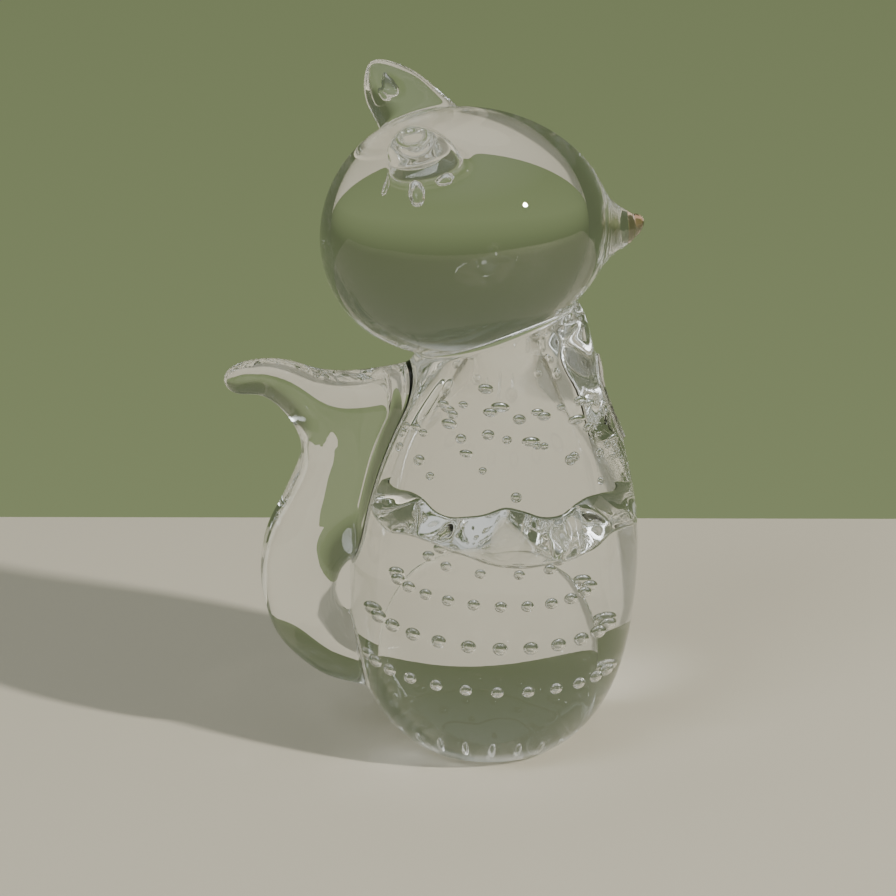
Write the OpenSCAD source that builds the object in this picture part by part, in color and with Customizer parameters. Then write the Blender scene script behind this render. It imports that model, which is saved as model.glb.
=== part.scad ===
// Hot-worked clear glass squirrel, seated, with controlled bubbles round an inner gather.
// Frame: origin at the centre of the ground base, +Z up, +X towards the nose. Millimetres.

/* [Body] */
// Widest diameter of the pear-shaped body
body_d = 54; // [50:0.2:57]
// Forward lean of the body's axis
body_lean = 3.1; // [0:0.1:4]
// Height at which the pear outline ends, inside the head
body_h = 90; // [89:0.5:92]

/* [Inner gather] */
// Widest diameter of the bubbled inner gather
core_d = 26; // [22:0.5:30]
// Height of the inner gather above the base
core_h = 40; // [36:0.5:44]

/* [Bubbles] */
// Bubbles in one ring round the inner gather
ring_count = 18; // [12:1:20]
// Diameter of a round bubble
bubble_d = 2.1; // [1.4:0.1:2.6]
// Length of the drawn-out bubbles near the base
drawn_l = 3.8; // [2.8:0.2:4.4]
// Diameter of the drawn-out bubbles near the base
drawn_d = 1.3; // [1:0.1:1.6]
// Loose bubbles strewn above the inner gather
stray_count = 40; // [8:2:44]
// Thickness of the thin sheet of air trapped above the rings
veil_t = 0.5; // [0.4:0.05:0.7]

/* [Head] */
// Largest diameter of the egg-shaped head
head_d = 45.8; // [43:0.2:49]
// Length of the egg behind its widest place
head_back = 25.2; // [23:0.2:27]
// Length of the egg in front of its widest place
head_front = 28.6; // [27:0.2:30]
// Height of the head's widest place above the base
head_z = 102; // [100:0.2:103]
// Upward tilt of the head's axis
head_tilt = 3.5; // [0:0.5:5]
// Downward turn of the snout from the head's axis
snout_drop = 4.5; // [0:0.5:6]

/* [Nose] */
// Diameter of the ball on the nose bit
nose_d = 3.4; // [3:0.1:4.4]

/* [Ears] */
// Width of an ear lobe, front to back
ear_w = 13.6; // [11:0.2:15]
// Thickness of an ear lobe
ear_t = 6.4; // [5:0.2:7.5]

/* [Tail] */
// Largest thickness of the tail, side to side
tail_t = 15; // [12:0.5:17]

/* [Hidden] */
$fn = 96;
eps = 0.01;

// Smooth curve through a list of points, n steps between each pair.
function cr1(a, b, c, d, t) =
    0.5 * (2 * b + (c - a) * t + (2 * a - 5 * b + 4 * c - d) * t * t
    + (3 * b - 3 * c + d - a) * t * t * t);
function at(p, i) = p[max(0, min(len(p) - 1, i))];
function curve(p, n) = [
    for (i = [0 : len(p) - 2], j = [0 : n - 1])
        cr1(at(p, i - 1), p[i], p[i + 1], at(p, i + 2), j / n),
    p[len(p) - 1]];

// Body outline as [share of the radius, height], from the base up.
body_pts = [
    [0.38, -1.5], [0.48, 0], [0.61, 2], [0.765, 7.2], [0.885, 13], [0.962, 20], [1, 32],
    [0.995, 43], [0.945, 52], [0.86, 60], [0.76, 67.5], [0.655, 75], [0.585, 81],
    [0.545, 84.6], [0.45, 87.6], [0.22, body_h]];
function body_line() = [for (p = curve(body_pts, 3)) [p[0] * body_d / 2, p[1]]];

// Inner gather outline, open at the ground base.
core_pts = [
    [0.76, -2.5], [0.84, 2], [0.93, 8], [0.985, 14], [1, 20], [0.965, 26], [0.84, 32],
    [0.58, 37], [0.3, 39.4]];
function core_line() = [
    for (p = concat(curve(core_pts, 2), [[0, 40]])) [p[0] * core_d / 2, p[1] * core_h / 40]];

module leaned() {
    rotate([0, body_lean, 0]) children();
}
module above_floor() {
    intersection() {
        children();
        translate([-80, -80, 0]) cube([160, 160, 170]);
    }
}
module body_solid() {
    leaned() rotate_extrude()
        polygon(concat([[0, -1.5]], body_line(), [[0, body_h]]));
}
module core_solid() {
    leaned() rotate_extrude()
        polygon(concat([[0, -2.5]], core_line()));
}

// Rings of bubbles as [height on the gather, share of its radius there, size factor, lift].
// They are open at the back; the last one is sparser and goes all the way round.
rings = [[17.5, 1, 1, 0], [25.6, 0.975, 1.15, 8], [32.6, 0.82, 0.95, 32]];
top_ring = [37.3, 0.56, 0.8, 48];
clear = 0.15;
module drawn_bubble() {
    rotate_extrude($fn = 32)
        polygon([for (i = [0 : 10]) [drawn_d / 2 * sin(i * 18), -drawn_l / 2 * cos(i * 18)]]);
}
module ring_bubble(r) {
    translate([r[1] * core_d / 2, 0, r[0] * core_h / 40])
        rotate([0, -r[3], 0])
            translate([bubble_d * r[2] / 2 + clear, 0, 0])
                sphere(d = bubble_d * r[2], $fn = 32);
}
module bubbles() {
    leaned() for (i = [0 : ring_count - 1]) rotate([0, 0, (i + 0.5) * 360 / ring_count]) {
        if (sin((i + 0.5) * 360 / ring_count) < 0.7)
            for (r = rings) ring_bubble(r);
        if (i % 2 == 0) ring_bubble(top_ring);
        translate([0.9 * core_d / 2 + drawn_d / 2 + clear, 0, 5.4])
            rotate([0, 4, 0]) drawn_bubble();
    }
    stray_bubbles();
}
// Loose bubbles over the core, strewn on a shallow dome towards the front.
module stray_bubbles() {
    leaned() for (i = [1 : stray_count]) {
        share = i / stray_count;
        reach = 0.12 + 0.88 * sqrt(share);
        translate([
            1 + 19 * reach * cos(i * 137.5),
            -4 + 13 * reach * sin(i * 137.5),
            68.5 - 12 * share + 2.8 * sin(i * 97)])
            sphere(d = bubble_d * (0.84 + 0.16 * sin(i * 61)), $fn = 24);
    }
}

// Sheet of air left where the shoulders' glass was laid over the bubbled lower part.
veil_in = 12.5;
veil_out = 21;
veil_z = 50;
veil_drop = 5.2;
veil_steps = 8;
function veil_point(i, side) =
    let (u = i / veil_steps)
    [veil_in + (veil_out - veil_in) * u,
     veil_z - veil_drop * u + side * veil_t / 2 * sqrt(4 * u * (1 - u))];
module air_veil() {
    leaned() rotate([0, 0, 155]) rotate_extrude(angle = 230)
        polygon(concat(
            [for (i = [0 : veil_steps]) veil_point(i, -1)],
            [for (i = [veil_steps - 1 : -1 : 1]) veil_point(i, 1)]));
}

// Head: a blunt egg turned about the nose axis.
function egg_r(s) = let (a = s < 0 ? head_back : head_front, p = s < 0 ? 2.08 : 2.0)
    head_d / 2 * pow(max(0, 1 - pow(abs(s) / a, p)), 1 / p);
egg_n = 22;
egg_line = concat(
    [for (i = [egg_n : -1 : 1]) [egg_r(-head_back * sin(i * 90 / egg_n)),
        -head_back * sin(i * 90 / egg_n)]],
    [for (i = [0 : egg_n]) [egg_r(head_front * sin(i * 90 / egg_n)),
        head_front * sin(i * 90 / egg_n)]]);
head_x = -5;
module on_head_axis() {
    translate([head_x, 0, head_z]) rotate([0, 90 - head_tilt, 0]) children();
}
module egg() {
    on_head_axis() rotate_extrude() polygon(egg_line);
}

module on_snout_axis() {
    translate([head_x, 0, head_z]) rotate([0, 90 - head_tilt + snout_drop, 0]) children();
}

// Snout: a cone that grows out of the egg and ends in a small flat.
snout_pts = [[9.1, 24.2], [7.7, 26.2], [6.0, 28.0], [4.4, 29.8], [3.2, 31.6]];
snout_end = 31.6;
module snout_solid() {
    on_snout_axis() rotate_extrude()
        polygon(concat([[0, 20], [9.1, 20]], curve(snout_pts, 3), [[0, snout_end]]));
}

// Nose bit: a short blunt cone with a ball on its upper side.
module nose_solid() {
    on_snout_axis() {
        rotate_extrude()
            polygon([[0, snout_end], [3.2, snout_end], [2.5, 32.6], [1.7, 33.6], [0.8, 34.4],
            [0, 34.7]]);
        translate([-0.9, 0, 33.2]) sphere(d = nose_d);
    }
}

// Ear: a lobe of rounded sections along a short leaning line, pressed once on its inner face.
ear_rows = [
    // distance along the ear, half width, half thickness, backward drift
    [-7.0, 1.14, 1.34, 0.6], [-3.0, 1.10, 1.26, 0.4], [0, 1.02, 1.1, 0.1], [4.0, 0.90, 0.98, -0.2],
    [8.0, 0.74, 0.86, -0.5], [11.0, 0.54, 0.66, -0.6], [12.8, 0.28, 0.36, -0.6],
    [13.4, 0.05, 0.06, -0.6]];
ear_fn = 20;
module loft(rings) {
    n = len(rings[0]);
    m = len(rings);
    polyhedron(
        points = [for (r = rings) each r],
        faces = concat(
            [[for (j = [0 : n - 1]) j]],
            [for (i = [0 : m - 2], j = [0 : n - 1])
                [i * n + j, (i + 1) * n + j, (i + 1) * n + (j + 1) % n]],
            [for (i = [0 : m - 2], j = [0 : n - 1])
                [i * n + j, (i + 1) * n + (j + 1) % n, i * n + (j + 1) % n]],
            [[for (j = [n - 1 : -1 : 0]) (m - 1) * n + j]]));
}
module ear_blank() {
    loft([for (r = curve(ear_rows, 2)) [for (j = [0 : ear_fn - 1])
        [r[3] + ear_w / 2 * r[1] * cos(-j * 360 / ear_fn),
        ear_t / 2 * r[2] * sin(-j * 360 / ear_fn), r[0]]]]);
}
// side: +1 for the left ear, -1 for the right; splay: angle out from upright
module ear_place(side, splay, x, rise, back) {
    translate([head_x + x, 0, head_z])
        rotate([-side * splay, 0, 0])
            translate([0, 0, rise])
                rotate([0, -back, 0]) children();
}
module ear(side, splay, x, rise, back) {
    difference() {
        ear_place(side, splay, x, rise, back) difference() {
            ear_blank();
            translate([-0.9, -side * 4.7, 7.2]) sphere(d = 6, $fn = 24);
        }
        egg();
    }
}

tail_x = 0.6;
// Tail: pairs of [x, z] on its outer and inner edge and its half thickness there.
tail_rows = [
    [-49.3, 73.7, -49.2, 74.7, 0.1], [-48.4, 72.2, -48.4, 75.9, 0.26],
    [-46.4, 71.3, -46.2, 77.1, 0.38], [-43.6, 71.2, -43.2, 77.6, 0.46],
    [-41.2, 70.3, -39.8, 77.6, 0.52], [-38.8, 68.2, -36.2, 76.9, 0.58],
    [-36.8, 65.5, -32.6, 75.6, 0.66], [-35.4, 62.4, -27.6, 74.7, 0.74],
    [-35, 59.5, -21, 75.3, 0.84], [-36, 55.8, -13, 76.7, 0.92], [-37.2, 53.1, -11.7, 71.2, 0.96],
    [-38.6, 50, -13.6, 61.6, 0.99], [-40.8, 45.8, -17.4, 50.4, 1], [-42.3, 41, -22.6, 42.4, 1],
    [-42.8, 37.2, -26.6, 37.4, 1], [-42.7, 32.8, -28.5, 32.6, 1], [-42, 28.8, -27.6, 28.2, 1],
    [-40.7, 24.8, -24.4, 24.8, 1], [-38.7, 21.4, -21.4, 21.4, 0.98],
    [-34.7, 17.3, -19.2, 18.6, 0.92], [-30.4, 14.4, -17.8, 16.4, 0.82],
    [-25.4, 12.7, -17.2, 14.8, 0.64], [-21, 12, -17, 13.6, 0.35]];
tail_fn = 24;
function sup(v, p) = sign(v) * pow(abs(v), p);
module tail_blank() {
    loft([for (r = curve(tail_rows, 2)) [for (j = [0 : tail_fn - 1])
        let (a = j * 360 / tail_fn, c = sup(cos(a), 0.85), s = sup(sin(a), 0.85))
        [(r[0] + r[2]) / 2 + (r[2] - r[0]) / 2 * c,
        tail_t / 2 * r[4] * s,
        (r[1] + r[3]) / 2 + (r[3] - r[1]) / 2 * c]]]);
}

module body_core() {
    color("Gainsboro") above_floor() difference() {
        core_solid();
        bubbles();
    }
}
module body_casing() {
    color("WhiteSmoke", 0.6) above_floor() difference() {
        body_solid();
        core_solid();
        egg();
        bubbles();
        air_veil();
    }
}
module head() {
    color("WhiteSmoke", 0.6) egg();
}
module snout() {
    color("WhiteSmoke", 0.6) difference() {
        snout_solid();
        egg();
    }
}
module nose_bead() {
    color("LightSalmon", 0.7) difference() {
        nose_solid();
        snout_solid();
        egg();
    }
}
module ear_left() {
    color("WhiteSmoke", 0.6) ear(1, 41, -6.6, 23.4, 30);
}
module ear_right() {
    color("WhiteSmoke", 0.6) ear(-1, 39, -7.0, 22.0, 14);
}
module tail() {
    color("WhiteSmoke", 0.6) difference() {
        translate([tail_x, 0, 0]) tail_blank();
        body_solid();
    }
}

body_core();
body_casing();
head();
snout();
nose_bead();
ear_left();
ear_right();
tail();
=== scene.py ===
"""Clear glass seated squirrel: shapes in numpy as distance fields, fused, then cut into its gathers."""
import math
import bpy
import numpy as np
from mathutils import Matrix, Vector


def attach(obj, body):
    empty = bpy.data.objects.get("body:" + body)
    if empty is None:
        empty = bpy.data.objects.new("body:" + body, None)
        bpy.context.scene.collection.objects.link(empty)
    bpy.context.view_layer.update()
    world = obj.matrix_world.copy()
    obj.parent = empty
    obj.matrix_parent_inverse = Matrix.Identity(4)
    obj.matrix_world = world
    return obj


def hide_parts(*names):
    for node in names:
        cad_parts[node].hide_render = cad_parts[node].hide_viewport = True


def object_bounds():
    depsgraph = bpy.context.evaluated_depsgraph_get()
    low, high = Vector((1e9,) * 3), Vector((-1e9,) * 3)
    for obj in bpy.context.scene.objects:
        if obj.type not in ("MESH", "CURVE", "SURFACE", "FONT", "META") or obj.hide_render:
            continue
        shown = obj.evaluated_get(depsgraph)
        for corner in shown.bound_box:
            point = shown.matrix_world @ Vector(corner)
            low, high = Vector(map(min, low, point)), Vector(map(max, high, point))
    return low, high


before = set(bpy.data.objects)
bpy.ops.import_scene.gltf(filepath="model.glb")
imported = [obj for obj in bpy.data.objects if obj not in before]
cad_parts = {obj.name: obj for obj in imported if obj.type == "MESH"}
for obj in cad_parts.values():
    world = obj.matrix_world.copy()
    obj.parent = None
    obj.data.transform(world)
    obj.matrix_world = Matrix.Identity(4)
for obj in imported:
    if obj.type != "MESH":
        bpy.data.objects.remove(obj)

cad_box = [list(corner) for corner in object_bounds()]
MM = 0.001

# ---- the object's dimensions, in millimetres, as in the CAD source ----
BODY_D = 54.0
BODY_LEAN = math.radians(3.1)
# outline of the body, and further down that of the core: share of the widest radius, height
BODY_PTS = [
    (0.38, -1.5), (0.48, 0), (0.61, 2), (0.765, 7.2), (0.885, 13), (0.962, 20), (1.0, 32),
    (0.995, 43), (0.945, 52), (0.86, 60), (0.76, 67.5), (0.655, 75), (0.585, 81), (0.545, 84.6),
]
BODY_TOP, BODY_TOP_ROUND = 88.5, 5.0
# the fit through the outline holds between these heights and runs on straight beyond them
BODY_FIT_LOW, BODY_FIT_HIGH = -2.0, 85.0
CORE_D = 26.0
CORE_PTS = [
    (0.76, -2.5), (0.84, 2), (0.93, 8), (0.985, 14), (1, 20), (0.965, 26), (0.84, 32),
    (0.58, 37), (0.3, 39.4), (0.0, 40),
]
CORE_TOP = CORE_PTS[-1][1]
# above this height the core's skin is drawn as a round cap
CORE_CAP = CORE_PTS[-2][1] - 3.0
RING_COUNT = 18
BUBBLE_D = 2.1
# rings of bubbles: height, share of the core's radius, size factor, lift in degrees
RINGS = [(17.5, 1.0, 1.0, 0), (25.6, 0.975, 1.15, 8), (32.6, 0.82, 0.95, 32), (37.3, 0.56, 0.8, 48)]
# a bubble is left out where the sine of its turn is above this, so the rings are open at the back
RING_OPEN = 0.7
DRAWN_L, DRAWN_D = 3.8, 1.3
DRAWN_Z, DRAWN_SHARE, DRAWN_TILT = 5.4, 0.9, math.radians(4)
BUBBLE_CLEAR = 0.15
# loose bubbles: how many, turn from one to the next, middle of the swarm, its reach and its fall
STRAY_COUNT, STRAY_TURN = 40, 137.5
STRAY_X, STRAY_Y, STRAY_Z = 1, -4, 68.5
STRAY_LONG, STRAY_WIDE, STRAY_FALL, STRAY_SWAY = 19, 13, 12, 2.8
# sheet of air: height, fall, inner and outer radius, thickness, then its middle and its span
VEIL_TOP, VEIL_DROP, VEIL_IN, VEIL_OUT, VEIL_T = 50.0, 5.2, 12.5, 21.0, 0.5
VEIL_MID, VEIL_SPAN = math.radians(-90), math.radians(230)
HEAD_X, HEAD_Z, HEAD_D = -5.0, 102.0, 45.8
HEAD_BACK, HEAD_FRONT = 25.2, 28.6
HEAD_TILT = math.radians(3.5)
# swell of the blunt back of the head, and the direction it hangs in
BACK_SWELL, SWELL_BACK, SWELL_DOWN = 0.045, 0.75, 0.66
SNOUT_DROP = math.radians(4.5)
# radius of the snout, distance along its axis
SNOUT_PTS = [(10.2, 22.0), (9.1, 24.2), (7.7, 26.2), (6.0, 28.0), (4.4, 29.8), (3.2, 31.6), (2.4, 33.0)]
SNOUT_ROOT, SNOUT_TIP, SNOUT_ROUND = 20.0, 33.0, 1.0
# the nose bit starts here: a ball on the upper side of a short blunt cone
SNOUT_END = 31.6
NOSE_D = 3.4
BALL_ALONG, BALL_RISE = 33.2, 0.9
CONE_ROOT, CONE_TIP, CONE_DROP, CONE_R, CONE_TAPER = 30.6, 34.55, 0.15, 3.15, 0.86
EAR_W, EAR_T = 13.6, 6.4
# sections of an ear: distance up it, share of the half width, of the half thickness, drift
EAR_SECTIONS = [(-7, 1.14, 1.34, 0.6), (-3, 1.10, 1.26, 0.4), (0, 1.04, 1.14, 0.1), (4, 0.93, 1.0, -0.2),
                (8, 0.80, 0.90, -0.5), (11, 0.68, 0.78, -0.6), (13.4, 0.56, 0.66, -0.6)]
# the ear ends at its tip and starts to round off at its cap; below its root it narrows away
EAR_TIP, EAR_CAP = 13.4, 5.6
EAR_ROOT, EAR_ROOT_LONG = -2.0, 6.0
# the pressed hollow: place across the lobe, off its plane and up it, radius, and squeeze along the ear
PRESS_BACK, PRESS_OUT, PRESS_UP, PRESS_R, PRESS_LONG = 1.1, 5.0, 6.6, 3.1, 0.75
# each ear: side of the head, splay, place along the head, rise over its middle, turn backwards
FAR_EAR = (1, 41, -6.6, 23.4, 30)
NEAR_EAR = (-1, 39, -7.0, 22.0, 14)
TAIL_T = 15.0
TAIL_X = 0.6
# the tail's outer edge x, z, its inner edge x, z, and its share of the full thickness there
TAIL_ROWS = [
    (-49.3, 73.7, -49.2, 74.7, 0.1), (-48.4, 72.2, -48.4, 75.9, 0.26),
    (-46.4, 71.3, -46.2, 77.1, 0.38), (-43.6, 71.2, -43.2, 77.6, 0.46),
    (-41.2, 70.3, -39.8, 77.6, 0.52), (-38.8, 68.2, -36.2, 76.9, 0.58),
    (-36.8, 65.5, -32.6, 75.6, 0.66), (-35.4, 62.4, -27.6, 74.7, 0.74),
    (-35, 59.5, -21, 75.3, 0.84), (-36, 55.8, -13, 76.7, 0.92), (-37.2, 53.1, -11.7, 71.2, 0.96),
    (-38.6, 50, -13.6, 61.6, 0.99), (-40.8, 45.8, -17.4, 50.4, 1), (-42.3, 41, -22.6, 42.4, 1),
    (-42.8, 37.2, -26.6, 37.4, 1), (-42.7, 32.8, -28.5, 32.6, 1), (-42, 28.8, -27.6, 28.2, 1),
    (-40.7, 24.8, -24.4, 24.8, 1), (-38.7, 21.4, -21.4, 21.4, 0.98),
    (-34.7, 17.3, -19.2, 18.6, 0.92), (-30.4, 14.4, -17.8, 16.4, 0.82),
    (-25.4, 12.7, -17.2, 14.8, 0.64), (-21, 12, -17, 13.6, 0.35),
]
# power of the tail's rounded section, width of its rounded edge, and how far its rows blend
TAIL_P = 2.25
TAIL_EDGE_SHARE, TAIL_EDGE_LEAST, TAIL_EDGE_MOST = 0.82, 1.2, 7.0
TAIL_BLEND = 4.0

# ---- what the CAD source leaves out ----
# fusing radii between neighbouring gathers, and the rounding of the ground base's rim
FUSE_NECK, FUSE_TAIL, FUSE_EAR, FUSE_SNOUT, FUSE_NOSE = 1.6, 1.8, 3.0, 1.6, 0.3
BASE_EDGE = 0.7
# how far the casing stands off the core, and the body's wall off the tail
SKIN_GAP = 0.03
TAIL_GAP = 0.06
# pockets of air caught where the ears were put on. On the head: distance along the nose axis from its
# widest place, turn round that axis from straight up to the near side, depth under the skin, radii, swing
HEAD_POCKETS = [
    (-8, 48, 2.0, (3.4, 1.5, 1.2), 0.3),
    (-3, 43, 1.8, (2.0, 1.6, 1.0), 0.2),
    (-13, 41, 1.3, (2.3, 0.6, 0.5), 0.0),
]
# in the far ear: place across the lobe and up it, radii, swing
EAR_POCKET = (-1, 7, (2.9, 1.9, 0.8), 0.2)

# ---- how finely the shapes are worked out ----
VOXEL = 0.6
GRID_MARGIN, GRID_FLOOR = 2.0, -1.6
# no grid plane falls exactly on the flat base or the mirror plane
GRID_OFFSET = (0.013, 0.017, 0.011)
# value of a piece's field where it isn't worked out
FAR = 9.0
# a settling step is no longer than this
LONGEST_MOVE = 0.4
# an edge across which the skin turns further than this, in degrees, is split down to the shortest
CREASE, SHORTEST_EDGE = 9.0, 0.12
CAP_RINGS, DOME_RINGS = 8, 26


# ---- small numeric helpers ----
def spline(xs, ys):
    """Natural cubic spline through the points; straight beyond its ends."""
    xs, ys = np.asarray(xs, float), np.asarray(ys, float)
    n = len(xs)
    h = np.diff(xs)
    a = np.zeros((n, n))
    b = np.zeros(n)
    a[0, 0] = a[-1, -1] = 1.0
    for i in range(1, n - 1):
        a[i, i - 1], a[i, i], a[i, i + 1] = h[i - 1], 2 * (h[i - 1] + h[i]), h[i]
        b[i] = 6 * ((ys[i + 1] - ys[i]) / h[i] - (ys[i] - ys[i - 1]) / h[i - 1])
    m = np.linalg.solve(a, b)

    def value(x):
        x = np.asarray(x, float)
        xc = np.clip(x, xs[0], xs[-1])
        i = np.clip(np.searchsorted(xs, xc) - 1, 0, n - 2)
        d0, d1 = xc - xs[i], xs[i + 1] - xc
        y = (m[i] * d1 ** 3 + m[i + 1] * d0 ** 3) / (6 * h[i])
        y += (ys[i] / h[i] - m[i] * h[i] / 6) * d1 + (ys[i + 1] / h[i] - m[i + 1] * h[i] / 6) * d0
        slope = np.where(x < xs[0], (ys[1] - ys[0]) / h[0] - h[0] * m[1] / 6,
                         (ys[-1] - ys[-2]) / h[-1] + h[-1] * m[-2] / 6)
        return y + slope * (x - xc)
    return value


def smin(a, b, k):
    """Smooth union with a continuous second derivative."""
    h = np.maximum(k - np.abs(a - b), 0) / k
    return np.minimum(a, b) - h ** 3 * (k / 6)


def smax(a, b, k):
    return -smin(-a, -b, k)


def turn_y(x, z, angle):
    """Point in the axes of something turned by angle from +Z towards +X."""
    c, s = math.cos(angle), math.sin(angle)
    return x * c - z * s, x * s + z * c


# ---- body and inner gather ----
body_z = np.array([p[1] for p in BODY_PTS], float)
body_r2 = (np.array([p[0] for p in BODY_PTS]) * BODY_D / 2) ** 2
body_fit = np.polyfit(body_z, body_r2, 7)
body_slope = np.polyder(body_fit)


def sd_body(x, y, z):
    lx, lz = turn_y(x, z, BODY_LEAN)
    zc = np.clip(lz, BODY_FIT_LOW, BODY_FIT_HIGH)
    r2 = np.polyval(body_fit, zc)
    radius = np.sqrt(np.maximum(r2, 1.0))
    slope = np.polyval(body_slope, zc) / (2 * radius)
    radius = radius + slope * (lz - zc)
    side = (np.hypot(lx, y) - radius) / np.sqrt(1 + slope ** 2)
    return smax(side, lz - BODY_TOP, BODY_TOP_ROUND)


core_curve = spline([p[1] for p in CORE_PTS[:-1]], [p[0] * CORE_D / 2 for p in CORE_PTS[:-1]])


# ---- head, snout, nose ----
def head_axis(x, z, tilt):
    """Distance along the nose axis and height off it."""
    dx, dz = x - HEAD_X, z - HEAD_Z
    c, s = math.cos(tilt), math.sin(tilt)
    return dx * c + dz * s, -dx * s + dz * c


EGG_B = -(HEAD_FRONT - HEAD_BACK) / (HEAD_FRONT * HEAD_BACK * (HEAD_FRONT + HEAD_BACK))
EGG_A = (1 - EGG_B * HEAD_FRONT ** 2) / HEAD_FRONT


def sd_head(x, y, z):
    s, t = head_axis(x, z, HEAD_TILT)
    u = EGG_A * s + EGG_B * s * s
    rho2 = (t * t + y * y) / (HEAD_D / 2) ** 2
    n = np.sqrt(u * u + rho2)
    # the blunt back of the head hangs a little lower than a true egg
    away = np.sqrt(s * s + t * t + y * y) + 1e-6
    low_back = np.maximum(-(s * SWELL_BACK + t * SWELL_DOWN) / away, 0) ** 3
    n = n / (1 + BACK_SWELL * low_back)
    du = EGG_A + 2 * EGG_B * s
    grad = np.sqrt((u * du) ** 2 + rho2 / (HEAD_D / 2) ** 2) / np.maximum(n, 1e-3)
    return (n - 1) / np.maximum(grad, 0.02)


snout_curve = spline([p[1] for p in SNOUT_PTS], [p[0] for p in SNOUT_PTS])


def sd_snout(x, y, z):
    s, t = head_axis(x, z, HEAD_TILT - SNOUT_DROP)
    # the factor brings the slanting side close to a true distance
    side = (np.hypot(t, y) - snout_curve(s)) * 0.78
    return smax(smax(side, s - SNOUT_TIP, SNOUT_ROUND), SNOUT_ROOT - s, SNOUT_ROUND)


def sd_nose(x, y, z):
    s, t = head_axis(x, z, HEAD_TILT - SNOUT_DROP)
    bead = np.sqrt((s - BALL_ALONG) ** 2 + (t - BALL_RISE) ** 2 + y * y) - NOSE_D / 2
    r = np.hypot(t + CONE_DROP, y)
    cone = (r - (CONE_R - CONE_TAPER * (s - SNOUT_END))) * 0.76
    cone = smax(smax(cone, s - CONE_TIP, 1.2), CONE_ROOT - s, 0.6)
    return smin(bead, cone, 0.5)


# ---- ears ----
ear_half_w = spline([e[0] for e in EAR_SECTIONS], [e[1] * EAR_W / 2 for e in EAR_SECTIONS])
ear_half_t = spline([e[0] for e in EAR_SECTIONS], [e[2] * EAR_T / 2 for e in EAR_SECTIONS])
ear_drift = spline([e[0] for e in EAR_SECTIONS], [e[3] for e in EAR_SECTIONS])


def ear_field(side, splay, along, rise, back):
    """Field of one ear: a lobe of flattened sections with a hollow pressed into it."""
    splay, back = math.radians(splay) * side, math.radians(back)

    def raw(x, y, z):
        dx, dz = x - HEAD_X - along, z - HEAD_Z
        yy = y * math.cos(splay) - dz * math.sin(splay)
        zz = y * math.sin(splay) + dz * math.cos(splay) - rise
        lx = dx * math.cos(back) + zz * math.sin(back)
        d = -dx * math.sin(back) + zz * math.cos(back)
        cap = np.maximum(d - EAR_CAP, 0) / (EAR_TIP - EAR_CAP)
        root = np.maximum(EAR_ROOT - d, 0) / EAR_ROOT_LONG
        w, t = ear_half_w(d), ear_half_t(d)
        n = np.sqrt(((lx - ear_drift(d)) / w) ** 2 + (yy / t) ** 2 + cap ** 2 + root ** 2)
        hollow = (lx + PRESS_BACK) ** 2 + (yy + side * PRESS_OUT) ** 2 + ((d - PRESS_UP) * PRESS_LONG) ** 2
        press = np.sqrt(hollow) - PRESS_R
        grad = np.sqrt(((lx - ear_drift(d)) / w ** 2) ** 2 + (yy / t ** 2) ** 2
                       + (cap / (EAR_TIP - EAR_CAP)) ** 2 + (root / EAR_ROOT_LONG) ** 2) / np.maximum(n, 1e-3)
        lobe = (n - 1) / np.maximum(grad, 0.12)
        return smax(lobe, -press, 0.7)
    return raw


sd_ear_left = ear_field(*FAR_EAR)
sd_ear_right = ear_field(*NEAR_EAR)


# ---- tail: a smooth outline in the X-Z plane, swelled to a pillow ----
def closed_curve(points, steps):
    """A smooth closed curve through the points, in the given number of steps."""
    p = np.asarray(points, float)
    k = len(p)
    step = np.linalg.norm(np.roll(p, -1, 0) - p, axis=1) ** 0.5
    wrap = 4
    idx = np.arange(-wrap, k + wrap + 1)
    tt = np.concatenate([[0], np.cumsum(step[(idx[:-1]) % k])])
    fx, fz = spline(tt, p[idx % k, 0]), spline(tt, p[idx % k, 1])
    t = np.linspace(tt[wrap], tt[wrap + k], steps, endpoint=False)
    return np.stack([fx(t), fz(t)], 1)


rows = np.array(TAIL_ROWS)
rows[:, [0, 2]] += TAIL_X
outer = rows[:, 0:2]
inner = rows[::-1, 2:4].copy()
# where the tail runs into the body its outline goes on inside, so the joint is full: row, how far
deep = {
    8: 3.0, 9: 15.0, 10: 17.0, 11: 17.0, 12: 14.0, 13: 5.0,
    18: 5.0, 19: 12.0, 20: 13.0, 21: 12.0, 22: 9.0,
}
for i, push in deep.items():
    inner[len(rows) - 1 - i, 0] += push
outline = closed_curve(np.concatenate([outer, inner]), 900)

# grid over the tail's plane: its step, first point and size
G_H = 0.2
G_X0, G_Z0 = -56.0, 4.0
G_NX, G_NZ = 300, 400


def outline_distance():
    """Signed distance to the tail's outline on the grid, negative inside."""
    gx = G_X0 + G_H * np.arange(G_NX)
    gz = G_Z0 + G_H * np.arange(G_NZ)
    px, pz = np.meshgrid(gx, gz, indexing="ij")
    best = np.full(px.shape, 1e9)
    inside = np.zeros(px.shape, bool)
    a = outline
    b = np.roll(outline, -1, 0)
    for (ax, az), (bx, bz) in zip(a, b):
        ex, ez = bx - ax, bz - az
        wx, wz = px - ax, pz - az
        t = np.clip((wx * ex + wz * ez) / (ex * ex + ez * ez), 0, 1)
        best = np.minimum(best, (wx - ex * t) ** 2 + (wz - ez * t) ** 2)
        if az != bz:
            cross = ((az > pz) != (bz > pz)) & (px < ex * (pz - az) / ez + ax)
            inside ^= cross
    return np.where(inside, -1, 1) * np.sqrt(best)


tail_map = outline_distance()


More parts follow.
